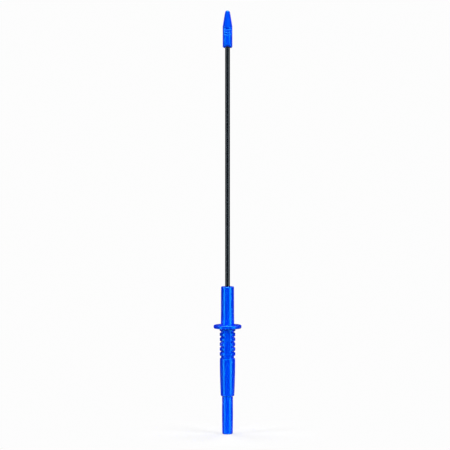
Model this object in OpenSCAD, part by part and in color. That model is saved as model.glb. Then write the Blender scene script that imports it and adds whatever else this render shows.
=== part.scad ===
// Plunger-type clip probe with a flexible shaft.
// The part stands along +Z, nose up. Its origin is the centre of the rear end face of the plunger.
// Units are millimetres.

/* [Shaft] */
// Outer diameter of the black shaft sleeve
shaft_d = 2.96; // [2.6:0.02:3]
// Height of the nose's rear edge above the plunger's rear face
nose_z = 236.2; // [180:0.2:300]

/* [Nose] */
// Largest diameter of the nose
nose_d = 5.8; // [5.7:0.1:6.2]
// Length of the nose
nose_len = 23; // [23:0.5:24]
// Diameter of the rounded tip
nose_tip_d = 3; // [3:0.1:3.4]
// Depth of the crescent grip grooves
nose_groove = 0.3; // [0.1:0.05:0.4]
// Distance between two crescent grooves
nose_groove_pitch = 1.55; // [1.2:0.05:1.7]

/* [Handle] */
// Height of the front end of the barrel
barrel_top_z = 90.7; // [88:0.1:100]
// Diameter of the barrel at its front end
barrel_front_d = 7.92; // [7.6:0.02:8.2]
// Diameter of the barrel where it meets the finger guard
barrel_rear_d = 8.2; // [8.2:0.1:9]
// Diameter of the finger guard
guard_d = 17; // [14:0.5:22]
// Height of the guard's front face
guard_top_z = 67.1; // [66.8:0.1:68]
// Diameter of the ribs and of the collar behind the guard
rib_d = 9.56; // [9:0.02:10]
// Number of grip ribs
rib_count = 5; // [3:1:5]
// Distance between two ribs
rib_pitch = 3; // [2.8:0.1:3.1]
// Length of one rib along the handle
rib_len = 1.95; // [1.2:0.05:2.2]
// Diameter of the grip between the ribs
core_d = 8; // [7.8:0.1:8.4]
// Width of the flat strip along the front and the back of the grip
strip_w = 4.15; // [2:0.05:5]
// Distance between the two flat strips
strip_flat = 8.74; // [8.4:0.02:9.2]

/* [Tail] */
// Height of the tail's rear end
tail_z = 23.4; // [20:0.1:25]
// Height of the tail's front end
tail_top_z = 46.8; // [46:0.1:47]
// Largest diameter of the tail, at its front end
tail_d = 9.34; // [9.2:0.02:9.8]

/* [Plunger] */
// Outer diameter of the plunger
plunger_d = 6.66; // [6.6:0.02:6.7]
// Length of the plunger sleeve
plunger_len = 36.2; // [36:0.1:37]
// Bore of the plug socket
socket_bore_d = 4; // [4:0.01:4.02]
// Travel of the plunger
travel = 6.5; // [3:0.1:6.5]

/* [Spring] */
// Wire diameter of the return spring
wire_d = 0.5; // [0.4:0.02:0.6]
// Mean diameter of the return spring
coil_d = 5.1; // [4.6:0.1:5.4]
// Turns of the return spring
coil_turns = 11; // [8:1:14]

/* [Hidden] */
$fn = 72;
eps = 0.01;

// Clearances: fixed pieces of one body, and running fits between bodies
slack = 0.03;
running = 0.05;

// Shaft and what runs in it
sleeve_r = shaft_d / 2;
conduit_r = 1;
conduit_bore_r = 0.75;
liner_bore_r = 0.57;
cable_r = 0.5;

// Nose, from its rear edge upwards
nose_r = nose_d / 2;
nose_top_z = nose_z + nose_len;
nose_tip_r = nose_tip_d / 2;
nose_dome_z = nose_top_z - nose_tip_r;
nose_taper_z = nose_z + 13.2;
nose_flat_z = nose_z + 12.6;
nose_flat_tilt = 8.75;
nose_mouth_r = 1.9;
nose_mouth_len = 1.4;
nose_chamfer = 0.7;
notch_z = nose_z - 0.6;
notch_r = 1.9;
notch_flare = 1.2;
groove_z = nose_z + 12.25;
groove_w = 0.5;
groove_arc_r = 5.5;

// Claw drive inside the nose
shaft_end_z = nose_z + 6.7;
bush_top_z = shaft_end_z + 2;
guide_r = 1.3;
carrier_z = bush_top_z + 0.4;
carrier_r = 1.2;
carrier_len = 4;
fork_x = 0.6;
fork_y = 0.86;
fork_len = 1.9;
pin_z = carrier_z + carrier_len + 1.1;
pin_r = 0.25;
claw_y = 0.44;
claw_gap = 0.03;
claw_len = 7.9;
claw_w = 0.42;
mouth_x = 1.22;
mouth_y = 0.6;

// Handle
grip_z = tail_top_z + 0.25;
collar_z = 63.35;
collar_top_z = 64.55;
rib_z = collar_z - 2.1;
spigot_z = 41.2;
main_bore_r = 3.4;
flange_gap = 0.28;
main_bore_top_z = 62;
ferrule_r = 2.55;
ferrule_top_z = 84;
ferrule_flange = 0.6;
sleeve_end_z = 77;
conduit_end_z = 70.5;
rim_under_z = 64.95;
rim_edge = 0.62;

// Tail and plunger
lip_top_z = 27.1;
stop_r = 3.66;
stop_len = 1.4;
chamber_r = 3.73;
plunger_r = plunger_d / 2;
plunger_round = 0.7;
relief_z = 22.9;
relief_r = plunger_r - 0.2;
socket_r = 2.6;
socket_z = 1.6;
socket_floor_z = 24;
cup_z = 26;
cup_end_z = 33.2;
cup_head_r = 3.1;
crimp_r = 1;
cable_end_z = 27.6;
washer_z = main_bore_top_z - 0.6;
spring_seat_z = plunger_len + 0.8;

blue = "#1550d8";
brass = "#c9a24b";
steel = "#b9bcc0";
black = "#14161a";

// Points of an arc about (cx, cz), from angle a0 to a1
function arc(cx, cz, r, a0, a1, steps = 6) =
    [for (i = [0:steps]) let (a = a0 + (a1 - a0) * i / steps) [cx + r * cos(a), cz + r * sin(a)]];

// Radius of the tail, which swells gently towards its front end
function tail_r(z) = tail_d / 2 - 0.001 * pow(tail_top_z - z, 2);

// A round bore from z0 to z1
module bore(r, z0, z1) {
    translate([0, 0, z0]) cylinder(r = r, h = z1 - z0);
}

// A plain tube from z0 to z1
module tube(outer_r, inner_r, z0, z1) {
    difference() {
        bore(outer_r, z0, z1);
        bore(inner_r, z0 - 1, z1 + 1);
    }
}

// Flat cut on the nose: everything in front of a plane that leans in towards the tip
module nose_flat_cut() {
    translate([0, -nose_r, nose_flat_z])
        rotate([-nose_flat_tilt, 0, 0])
            translate([-5, -10, -1.5]) cube([10, 10, 16]);
}

// One crescent groove: a curved sheet across the nose, limited to its skin
module nose_crescent(z) {
    intersection() {
        difference() {
            bore(nose_r + 1, z - 2, z + 4);
            bore(nose_r - nose_groove, z - 3, z + 5);
        }
        translate([0, 0, z + groove_arc_r])
            rotate([90, 0, 0])
                difference() {
                    cylinder(r = groove_arc_r + groove_w / 2, h = 10, center = true);
                    cylinder(r = groove_arc_r - groove_w / 2, h = 12, center = true);
                    translate([-10, 0, -10]) cube([20, 20, 20]);
                }
    }
}

// Saddle notch in the front half of the nose's rear edge, flared towards the outside
module nose_notch_cut() {
    flare_y = notch_r - nose_r;
    translate([0, 0, notch_z])
        rotate([90, 0, 0]) {
            cylinder(r = notch_r, h = 2 * nose_r);
            translate([0, 0, notch_r])
                cylinder(r1 = notch_r, r2 = notch_r + 2 * notch_flare, h = -2 * flare_y);
        }
}

// Plastic nose piece on the front end of the shaft
module nose() {
    color(blue)
    difference() {
        rotate_extrude()
            polygon(concat(
                [[0, nose_z], [nose_mouth_r + 0.05, nose_z], [nose_r, nose_z + nose_chamfer]],
                [[nose_r, nose_taper_z]],
                arc(0, nose_dome_z, nose_tip_r, 9, 90, 8)));
        nose_flat_cut();
        mirror([0, 1, 0]) nose_flat_cut();
        for (i = [0:2]) nose_crescent(groove_z - i * nose_groove_pitch);
        nose_notch_cut();
        mirror([0, 1, 0]) nose_notch_cut();
        bore(nose_mouth_r, nose_z - 1, nose_z + nose_mouth_len);
        bore(sleeve_r + slack, nose_z + 1, bush_top_z);
        bore(guide_r, bush_top_z - 1, carrier_z + carrier_len + travel + 0.3);
        translate([-fork_x - 0.1, -fork_y - 0.1, bush_top_z])
            cube([2 * fork_x + 0.2, 2 * fork_y + 0.2, pin_z + 0.9 + travel - bush_top_z]);
        translate([-mouth_x, -mouth_y, bush_top_z])
            cube([2 * mouth_x, 2 * mouth_y, nose_len]);
    }
}

// Brass bush that caps the conduit's front end inside the nose
module tip_bush() {
    color(brass)
    difference() {
        bore(sleeve_r, shaft_end_z + slack, bush_top_z - slack);
        bore(conduit_r + slack, shaft_end_z - 1, shaft_end_z + 0.7);
        bore(liner_bore_r + slack, shaft_end_z, bush_top_z + 1);
    }
}

// Hooked claw plate that bends to the right, with its pivot eye, in the plane of the mouth
module claw() {
    inner_x = 0.14;
    hook_x = 0.36;
    tip_z = claw_len;
    difference() {
        union() {
            circle(r = 0.52, $fn = 32);
            polygon([
                [0, -0.45], [0.5, 0], [inner_x + claw_w, tip_z - 0.5], [inner_x, tip_z], [-hook_x, tip_z],
                [-hook_x, tip_z - 0.25], [inner_x, tip_z - 0.55], [inner_x, 1.2], [0, 0.45]
            ]);
        }
        circle(r = pin_r + running, $fn = 32);
    }
}

module claw_left() {
    color(steel)
        translate([0, -claw_gap, pin_z])
            rotate([90, 0, 0])
                linear_extrude(claw_y - claw_gap) mirror([1, 0, 0]) claw();
}

module claw_right() {
    color(steel)
        translate([0, claw_y, pin_z])
            rotate([90, 0, 0])
                linear_extrude(claw_y - claw_gap) claw();
}

// Pin that carries both claws in the fork
module claw_pin() {
    color(steel)
        translate([0, 0, pin_z]) rotate([90, 0, 0]) cylinder(r = pin_r, h = 2 * fork_y, center = true);
}

// Brass slug on the cable's front end, with a fork for the claws
module claw_carrier() {
    slug_top_z = carrier_z + carrier_len;
    color(brass)
    difference() {
        union() {
            bore(carrier_r, carrier_z, slug_top_z);
            translate([-fork_x, -fork_y, slug_top_z - eps]) cube([2 * fork_x, 2 * fork_y, fork_len]);
        }
        translate([-2, -claw_y - claw_gap, pin_z - 0.75]) cube([4, 2 * (claw_y + claw_gap), 4]);
        translate([0, 0, pin_z])
            rotate([90, 0, 0]) cylinder(r = pin_r + 0.005, h = 4, center = true);
        bore(cable_r + slack, carrier_z - 1, carrier_z + 2.2);
    }
}

// Black plastic sleeve of the shaft, from inside the barrel to inside the nose
module shaft_sleeve() {
    color(black) tube(sleeve_r, conduit_r + slack, sleeve_end_z, shaft_end_z);
}

// Close-wound steel conduit inside the sleeve
module shaft_conduit() {
    color(steel) tube(conduit_r, conduit_bore_r, conduit_end_z, shaft_end_z + 0.65);
}

// Slippery plastic liner between the conduit and the cable
module conduit_liner() {
    color("white") tube(conduit_bore_r - 0.02, liner_bore_r, conduit_end_z + 0.1, shaft_end_z + 0.65);
}

// Cable that pushes the claws and carries the current
module push_cable() {
    color(steel) bore(cable_r, cable_end_z, carrier_z + 2.15);
}

// Flanged brass bush that anchors the shaft in the barrel
module barrel_ferrule() {
    color(brass)
    difference() {
        union() {
            bore(ferrule_r, main_bore_top_z + eps, ferrule_top_z - slack);
            bore(main_bore_r - flange_gap, main_bore_top_z, main_bore_top_z + ferrule_flange);
        }
        bore(sleeve_r + slack, sleeve_end_z - slack, ferrule_top_z + 1);
        bore(conduit_r + slack, conduit_end_z - slack, sleeve_end_z + 1);
        bore(conduit_bore_r, main_bore_top_z - 1, sleeve_end_z);
    }
}

// One grip rib with rounded outer edges
module rib(z) {
    edge = 0.5;
    half = rib_len / 2;
    rotate_extrude()
        translate([0, z])
            union() {
                translate([3.6, -half]) square([rib_d / 2 - edge - 3.6, rib_len]);
                translate([3.6, edge - half]) square([rib_d / 2 - 3.6, rib_len - 2 * edge]);
                translate([rib_d / 2 - edge, half - edge]) circle(r = edge, $fn = 32);
                translate([rib_d / 2 - edge, edge - half]) circle(r = edge, $fn = 32);
            }
}

// Outline of the handle from its spigot to the front of the barrel
module handle_outline() {
    core_r = core_d / 2;
    collar_r = rib_d / 2;
    rim_x = guard_d / 2 - rim_edge;
    polygon(concat(
        [[0, spigot_z], [core_r, spigot_z], [core_r, collar_z - 0.3]],
        arc(core_r + 0.3, collar_z - 0.3, 0.3, 180, 90, 4),
        arc(collar_r - 0.25, collar_z + 0.25, 0.25, -90, 0, 4),
        [[collar_r, collar_top_z]],
        arc(rim_x, rim_under_z + rim_edge, rim_edge, -80, 0, 6),
        arc(rim_x, guard_top_z - rim_edge, rim_edge, 0, 90, 7),
        arc(barrel_rear_d / 2 + 0.5, guard_top_z + 0.5, 0.5, 270, 180, 5),
        arc(barrel_front_d / 2 - 0.5, barrel_top_z - 0.5, 0.5, 0, 90, 6),
        [[0, barrel_top_z]]));
}

// Handle moulding: barrel, finger guard, collar, ribbed grip and rear spigot
module handle() {
    color(blue)
    difference() {
        union() {
            rotate_extrude() handle_outline();
            difference() {
                for (i = [0:rib_count - 1]) rib(rib_z - i * rib_pitch);
                translate([-strip_w / 2, strip_flat / 2, grip_z]) cube([strip_w, 4, collar_z - grip_z - eps]);
                translate([-strip_w / 2, -strip_flat / 2 - 4, grip_z]) cube([strip_w, 4, collar_z - grip_z - eps]);
            }
            intersection() {
                translate([-strip_w / 2, -strip_flat / 2, grip_z]) cube([strip_w, strip_flat, collar_z - grip_z + eps]);
                bore(rib_d / 2, grip_z - 1, collar_z + 1);
            }
        }
        bore(main_bore_r, spigot_z - 1, main_bore_top_z + ferrule_flange);
        bore(ferrule_r + slack, main_bore_top_z, ferrule_top_z);
        bore(sleeve_r + slack, ferrule_top_z - 1, barrel_top_z + 1);
        bore(sleeve_r + 0.14, barrel_top_z - 0.5, barrel_top_z + 1);
    }
}

// Washer between the spring and the ferrule's flange
module spring_washer() {
    color(steel) tube(main_bore_r - flange_gap, conduit_bore_r + 0.1, washer_z, main_bore_top_z - slack);
}

// Helical return spring, swept as one closed tube
module return_spring() {
    sides = 6;
    rings = 8 * coil_turns;
    z0 = spring_seat_z + wire_d / 2 + slack;
    z1 = washer_z - wire_d / 2 - slack;
    lean = atan((z1 - z0) / (coil_turns * PI * coil_d));
    points = [
        for (i = [0:rings], s = [0:sides - 1])
            let (turn = 360 * coil_turns * i / rings, a = 360 * s / sides,
                 radial = wire_d / 2 * cos(a), along = wire_d / 2 * sin(a))
            [
                (coil_d / 2 + radial) * cos(turn) + along * sin(lean) * sin(turn),
                (coil_d / 2 + radial) * sin(turn) - along * sin(lean) * cos(turn),
                z0 + (z1 - z0) * i / rings + along * cos(lean)
            ]
    ];
    walls = [
        for (i = [0:rings - 1], s = [0:sides - 1])
            let (a = i * sides + s, b = i * sides + (s + 1) % sides)
            each [[a, b, b + sides], [a, b + sides, a + sides]]
    ];
    start_cap = [for (s = [1:sides - 2]) [0, s + 1, s]];
    end_cap = [for (s = [1:sides - 2]) let (e = rings * sides) [e, e + s, e + s + 1]];
    color(steel) polyhedron(points, concat(walls, start_cap, end_cap), convexity = 10);
}

// Rear body, pushed on the handle's spigot over the plunger
module tail() {
    foot_r = tail_r(tail_z + 0.5);
    lip = 0.35;
    color(blue)
    difference() {
        rotate_extrude()
            polygon(concat(
                [[0, tail_z]],
                arc(foot_r - 0.5, tail_z + 0.5, 0.5, -90, 0, 5),
                [for (i = [1:8]) let (z = tail_z + 0.5 + (tail_top_z - lip - tail_z - 0.5) * i / 8) [tail_r(z), z]],
                arc(tail_d / 2 - lip, tail_top_z - lip, lip, 15, 90, 4),
                [[0, tail_top_z]]));
        bore(plunger_r + running, tail_z - 1, lip_top_z + 1);
        bore(chamber_r, lip_top_z, spigot_z + 1);
        bore(core_d / 2 + slack, spigot_z - slack, tail_top_z + 1);
    }
}

// Push-button sleeve that insulates the plug socket
module plunger_sleeve() {
    color(blue)
    difference() {
        rotate_extrude()
            polygon(concat(
                [[0, 0]],
                arc(plunger_r - plunger_round, plunger_round, plunger_round, -90, 0, 6),
                [[plunger_r, relief_z], [relief_r, relief_z]],
                [[relief_r, lip_top_z + 0.1], [stop_r, lip_top_z + 0.1]],
                [[stop_r, lip_top_z + 0.1 + stop_len], [relief_r, lip_top_z + 0.1 + stop_len]],
                [[relief_r, plunger_len], [0, plunger_len]]));
        bore(socket_bore_d / 2 + 0.2, -1, socket_z + 1);
        bore(socket_r + slack, socket_z - slack, plunger_len + 1);
    }
}

// Brass socket for a 4 mm plug, with a cup for the cable
module plug_socket() {
    color(brass)
    difference() {
        union() {
            bore(socket_r, socket_z, cup_z);
            bore(1.5, cup_z - 1, cup_end_z);
        }
        bore(socket_bore_d / 2, socket_z - 1, socket_floor_z);
        bore(crimp_r + 0.02, cable_end_z - 0.05, cup_end_z + 1);
    }
}

// Ferrule crimped on the cable's rear end and soldered in the socket's cup
module cable_crimp() {
    color(brass) tube(crimp_r, cable_r + 0.02, cable_end_z, cup_end_z - 0.4);
}

// Brass cup that closes the plunger and seats the spring
module spring_cup() {
    color(brass)
    difference() {
        union() {
            bore(socket_r, cup_end_z + 0.2, spring_seat_z - eps);
            bore(cup_head_r, plunger_len + slack, spring_seat_z);
        }
        bore(cable_r + slack, cup_end_z - 1, spring_seat_z + 1);
    }
}

nose();
tip_bush();
claw_left();
claw_right();
claw_pin();
claw_carrier();
shaft_sleeve();
shaft_conduit();
conduit_liner();
push_cable();
barrel_ferrule();
handle();
spring_washer();
return_spring();
tail();
plunger_sleeve();
plug_socket();
cable_crimp();
spring_cup();
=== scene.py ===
# Looks of a plunger-type clip probe with a flexible shaft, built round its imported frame.
# Pieces are modelled in millimetres, in the frame's own axes, and then brought down to metres.
import math

import bpy
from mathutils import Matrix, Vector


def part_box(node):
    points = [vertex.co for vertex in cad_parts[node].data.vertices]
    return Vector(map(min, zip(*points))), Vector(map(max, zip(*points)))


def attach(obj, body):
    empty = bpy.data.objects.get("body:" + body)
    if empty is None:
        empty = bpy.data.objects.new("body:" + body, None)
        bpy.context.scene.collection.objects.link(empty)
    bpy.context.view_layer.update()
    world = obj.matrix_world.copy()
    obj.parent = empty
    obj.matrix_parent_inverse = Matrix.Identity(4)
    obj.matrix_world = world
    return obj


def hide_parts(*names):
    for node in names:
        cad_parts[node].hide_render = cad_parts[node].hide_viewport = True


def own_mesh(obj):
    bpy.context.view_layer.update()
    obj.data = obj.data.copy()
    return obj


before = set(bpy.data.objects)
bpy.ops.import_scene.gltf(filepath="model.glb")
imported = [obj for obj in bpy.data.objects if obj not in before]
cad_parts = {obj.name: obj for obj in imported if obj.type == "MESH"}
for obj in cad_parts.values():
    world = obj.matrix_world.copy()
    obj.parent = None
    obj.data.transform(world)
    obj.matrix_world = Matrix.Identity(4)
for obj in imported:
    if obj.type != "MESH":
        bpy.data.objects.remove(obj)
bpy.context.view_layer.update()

# ---------------------------------------------------------------------------
# Camera, floor and light.
# The camera looks a little down on the probe from the front. Upright soft boxes stand to the left
# and right, and smaller ones in front and behind, so that every side gets plain soft light.

MM = 0.001
FRAME_PX = 450
VIEW_WIDTH_MM = 274.94
PROBE_OFFSET_PX = 2.52
CAMERA_AWAY_MM = 1600
CAMERA_HEIGHT_MM = 219
AIM_HEIGHT_MM = 128.35
SENSOR_MM = 36
CLIP_NEAR_M = 0.05
CLIP_FAR_M = 60

camera = bpy.data.objects.new("camera", bpy.data.cameras.new("camera"))
bpy.context.scene.collection.objects.link(camera)
bpy.context.scene.camera = camera
camera_side = -PROBE_OFFSET_PX * VIEW_WIDTH_MM / FRAME_PX
camera_drop = CAMERA_HEIGHT_MM - AIM_HEIGHT_MM
camera.location = (camera_side * MM, -CAMERA_AWAY_MM * MM, CAMERA_HEIGHT_MM * MM)
camera.rotation_euler = (math.radians(90) - math.atan2(camera_drop, CAMERA_AWAY_MM), 0, 0)
camera.data.sensor_width = SENSOR_MM
camera.data.lens = SENSOR_MM * math.hypot(CAMERA_AWAY_MM, camera_drop) / VIEW_WIDTH_MM
camera.data.clip_start = CLIP_NEAR_M
camera.data.clip_end = CLIP_FAR_M

bpy.context.scene.view_settings.view_transform = "Standard"


def seen_directly(nodes, links):
    """1 for camera rays and rays through clear pieces, which see the surroundings plain white."""
    path = nodes.new("ShaderNodeLightPath")
    either = nodes.new("ShaderNodeMath")
    either.operation = "MAXIMUM"
    links.new(path.outputs["Is Camera Ray"], either.inputs[0])
    links.new(path.outputs["Is Transmission Ray"], either.inputs[1])
    return either.outputs[0]


BACKDROP_WHITE = (0.98, 0.98, 0.98, 1)
AMBIENT = 0.25
MIRRORED_AMBIENT = 0.03
CEILING_LEAN = 0.3
CEILING_FROM = 0.88
CEILING_FULL = 0.96
CEILING_GLOW = 24

world = bpy.data.worlds.new("studio")
bpy.context.scene.world = world
world.use_nodes = True
nodes, links = world.node_tree.nodes, world.node_tree.links
nodes.clear()
# What the probe mirrors is dark all round, with one bright patch overhead, which leans to the
# camera's side.
direction = nodes.new("ShaderNodeTexCoord")
upward = nodes.new("ShaderNodeVectorMath")
upward.operation = "DOT_PRODUCT"
upward.inputs[1].default_value = (0, -CEILING_LEAN, math.sqrt(1 - CEILING_LEAN ** 2))
links.new(direction.outputs["Object"], upward.inputs[0])
ceiling = nodes.new("ShaderNodeMapRange")
ceiling.interpolation_type = "SMOOTHSTEP"
ceiling.inputs["From Min"].default_value = CEILING_FROM
ceiling.inputs["From Max"].default_value = CEILING_FULL
ceiling.inputs["To Min"].default_value = MIRRORED_AMBIENT - AMBIENT
ceiling.inputs["To Max"].default_value = CEILING_GLOW
links.new(upward.outputs["Value"], ceiling.inputs["Value"])
path = nodes.new("ShaderNodeLightPath")
level = nodes.new("ShaderNodeMath")
level.operation = "MULTIPLY_ADD"
level.inputs[2].default_value = AMBIENT
links.new(path.outputs["Is Glossy Ray"], level.inputs[0])
links.new(ceiling.outputs["Result"], level.inputs[1])
ambient = nodes.new("ShaderNodeBackground")
links.new(level.outputs[0], ambient.inputs["Strength"])
white = nodes.new("ShaderNodeBackground")
white.inputs["Color"].default_value = BACKDROP_WHITE
sky = nodes.new("ShaderNodeMixShader")
world_out = nodes.new("ShaderNodeOutputWorld")
links.new(seen_directly(nodes, links), sky.inputs[0])
links.new(ambient.outputs[0], sky.inputs[1])
links.new(white.outputs[0], sky.inputs[2])
links.new(sky.outputs[0], world_out.inputs["Surface"])

FLOOR_RADIUS_M = 12
FLOOR_SIDES = 64
SHADOW_RADIUS_M = 0.02
PLAIN_RADIUS_M = 0.07
FLOOR_MATT = 0.45
FLOOR_GLOW = 0.375
SHEEN_FROM = 0.1
SHEEN_FULL = 0.25
STEEP_SHEEN = 0.03
POLISH_ROUGHNESS = 0.08

bpy.ops.object.select_all(action="DESELECT")
bpy.ops.mesh.primitive_circle_add(vertices=FLOOR_SIDES, radius=FLOOR_RADIUS_M, fill_type="NGON")
floor = bpy.context.object
floor.name = "floor"
paint = bpy.data.materials.new("pale_floor")
paint.use_nodes = True
nodes, links = paint.node_tree.nodes, paint.node_tree.links
nodes.clear()
place = nodes.new("ShaderNodeTexCoord")
away = nodes.new("ShaderNodeVectorMath")
away.operation = "LENGTH"
links.new(place.outputs["Object"], away.inputs[0])
# The floor is matt near the probe, where it takes the shadow, and glows plain white farther out.
glow_share = nodes.new("ShaderNodeMapRange")
matt_share = nodes.new("ShaderNodeMapRange")
for share, near, far in ((glow_share, FLOOR_GLOW, 1), (matt_share, FLOOR_MATT, 0)):
    share.interpolation_type = "SMOOTHSTEP"
    share.inputs["From Min"].default_value = SHADOW_RADIUS_M
    share.inputs["From Max"].default_value = PLAIN_RADIUS_M
    share.inputs["To Min"].default_value = near
    share.inputs["To Max"].default_value = far
    links.new(away.outputs["Value"], share.inputs["Value"])
glow_strength = nodes.new("ShaderNodeMath")
glow_strength.operation = "MULTIPLY"
links.new(glow_share.outputs["Result"], glow_strength.inputs[0])
links.new(seen_directly(nodes, links), glow_strength.inputs[1])
glow = nodes.new("ShaderNodeEmission")
glow.inputs["Color"].default_value = BACKDROP_WHITE
links.new(glow_strength.outputs[0], glow.inputs["Strength"])
matt = nodes.new("ShaderNodeBsdfDiffuse")
links.new(matt_share.outputs["Result"], matt.inputs["Color"])
both = nodes.new("ShaderNodeAddShader")
links.new(matt.outputs[0], both.inputs[0])
links.new(glow.outputs[0], both.inputs[1])
# In what the probe mirrors, the floor is polished, and at a low angle it shows the soft boxes
# once more.
path = nodes.new("ShaderNodeLightPath")
slant = nodes.new("ShaderNodeLayerWeight")
sheen = nodes.new("ShaderNodeMapRange")
sheen.interpolation_type = "SMOOTHSTEP"
sheen.inputs["From Min"].default_value = SHEEN_FROM
sheen.inputs["From Max"].default_value = SHEEN_FULL
sheen.inputs["To Min"].default_value = STEEP_SHEEN
links.new(slant.outputs["Facing"], sheen.inputs["Value"])
polish = nodes.new("ShaderNodeBsdfGlossy")
polish.inputs["Roughness"].default_value = POLISH_ROUGHNESS
links.new(sheen.outputs["Result"], polish.inputs["Color"])
surface = nodes.new("ShaderNodeMixShader")
paint_out = nodes.new("ShaderNodeOutputMaterial")
links.new(path.outputs["Is Glossy Ray"], surface.inputs[0])
links.new(both.outputs[0], surface.inputs[1])
links.new(polish.outputs[0], surface.inputs[2])
links.new(surface.outputs[0], paint_out.inputs["Surface"])
floor.data.materials.append(paint)

LAMP_AIM_M = 0.13

# The boxes at the sides give most of the light. Only their low parts show in what the probe
# mirrors, as long highlights, so that level faces don't glare. The fill box lightens what the guard
# shades.
# Each row gives a name, azimuth (0 is the camera's side and 90 the right), distance, width, height,
# brightness, the level of the middle, and whether the probe's gloss shows the box.
soft_boxes = (
    ("low_box_right", 53, 1.2, 0.72, 0.42, 5.3, 0.1, True),
    ("high_box_right", 53, 1.2, 0.72, 0.88, 5.6, 0.75, False),
    ("low_box_left", -60, 1.2, 0.52, 0.42, 5.3, 0.1, True),
    ("high_box_left", -60, 1.2, 0.52, 0.88, 5.6, 0.75, False),
    ("front_box", 0, 1.4, 0.6, 0.6, 5.5, 1.25, True),
    ("fill_box", 0, 1.4, 1.2, 0.4, 2.2, 0.2, False),
    ("back_box_right", 135, 0.9, 0.9, 0.9, 4, 1.4, True),
    ("back_box_left", -135, 0.9, 0.9, 0.9, 4, 1.4, True),
)
for name, azimuth, away_m, width, height, brightness, middle_z, mirrored in soft_boxes:
    lamp = bpy.data.lights.new(name, "AREA")
    lamp.shape = "RECTANGLE"
    lamp.size = width
    lamp.size_y = height
    lamp.energy = brightness * math.pi * width * height
    box = bpy.data.objects.new(name, lamp)
    bpy.context.scene.collection.objects.link(box)
    turn = math.radians(azimuth)
    box.location = (away_m * math.sin(turn), -away_m * math.cos(turn), middle_z)
    fall = math.atan2(middle_z - LAMP_AIM_M, away_m)
    box.rotation_euler = (math.radians(90) - fall, 0, turn)
    box.visible_camera = False
    box.visible_glossy = mirrored

# ---------------------------------------------------------------------------
# Handle.
# One injection moulding in coloured nylon: a round barrel, the finger guard and its collar, and a
# grip with five ribs and a flat strip in front and behind. The shaft and the spring sit in its
# stepped bore.

handle_low, handle_high = (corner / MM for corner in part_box("handle"))
tail_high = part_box("tail")[1] / MM
SIDES = 96
MERGE_MM = 0.0004
SMOOTH_DEGREES = 32
SEAM_H = 0.035
BLANK_R = 0.8
FRONT_FACE_R = 2.4
BARREL_FRONT_R = 3.96
BARREL_REAR_R = 4.1
BARREL_EDGE = 0.5
BARREL_FILLET = 0.14
BARREL_WAIST = 0.06
BARREL_WAIST_UP = 4
BARREL_FLARE = 0.02
BARREL_FLARE_UP = 9
BARREL_STRAIGHT_UP = 15
GUARD_R = handle_high.x
GUARD_TOP_Z = 67.1
GUARD_UNDER_Z = 64.95
GUARD_EDGE = 0.62
GUARD_FACE_RINGS = (6.4, 5.2)
COLLAR_Z = 63.35
COLLAR_TOP_Z = 64.55
COLLAR_ROOT = 0.3
COLLAR_EDGE = 0.25
NECK_ROOT = 0.15
NECK_DROP = 0.1
SPIGOT_R = 4
SPIGOT_EDGE = 0.15
SPIGOT_DROP = 0.2
CORE_R = 4
CHANNEL_X = 3.05
CHANNEL_Y = 2.75
CHANNEL_OUT_Y = 5
CHANNEL_LAP = 0.1
RIB_R = 4.78
RIB_ROOT_R = 3.35
RIB_FOOT = 0.05
RIB_COUNT = 5
RIB_PITCH = 3
RIB_LEN = 2.2
RIB_EDGE = 0.5
TOP_RIB_DROP = 2.1
STRIP_W = 4.15
STRIP_FLAT = 8.74
STRIP_EDGE = 0.48
STRIP_END_EDGE = 0.12
STRIP_END_GAP = 0.25
STRIP_SINK = 0.15
STRIP_LAP = 0.05
STRIP_INTO_COLLAR = 0.02
STRIP_ROOM_Y = 6
STRIP_ROOM_H = 2
PLUNGER_BORE_R = 3.4
PLUNGER_BORE_END_Z = 44.6
PLUNGER_LEAD_R = 0.12
PLUNGER_LEAD_LEN = 0.3
SPRING_BORE_R = 3.2
SPRING_BORE_END_Z = 62.6
SPRING_LEAD_LEN = 0.4
FERRULE_BORE_R = 2.58
FERRULE_BORE_END_Z = 84
SHAFT_BORE_R = 1.51
SHAFT_MOUTH_R = 0.25
SHAFT_MOUTH_LEN = 0.35
BORE_PAST_REAR = 1
BORE_PAST_FRONT = 0.65
BORE_PAST_FRONT_R = 0.9


def empty_hands():
    """Object mode, with nothing selected."""
    if bpy.context.mode != "OBJECT":
        bpy.ops.object.mode_set(mode="OBJECT")
    bpy.ops.object.select_all(action="DESELECT")


def take(piece):
    """Makes one piece the only one selected, and active."""
    empty_hands()
    piece.select_set(True)
    bpy.context.view_layer.objects.active = piece


def arc(centre_r, centre_z, radius, start, end, steps):
    """Points of an arc in a turned outline. Angle 0 points outwards and 90 points up."""
    points = []
    for step in range(steps + 1):
        turn = math.radians(start + (end - start) * step / steps)
        points.append((centre_r + radius * math.cos(turn), centre_z + radius * math.sin(turn)))
    return points


def face_outwards(piece):
    """Merges doubled points and turns every face outwards."""
    take(piece)
    bpy.ops.object.mode_set(mode="EDIT")
    bpy.ops.mesh.select_all(action="SELECT")
    bpy.ops.mesh.remove_doubles(threshold=MERGE_MM)
    bpy.ops.mesh.normals_make_consistent(inside=False)
    bpy.ops.object.mode_set(mode="OBJECT")


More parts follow.
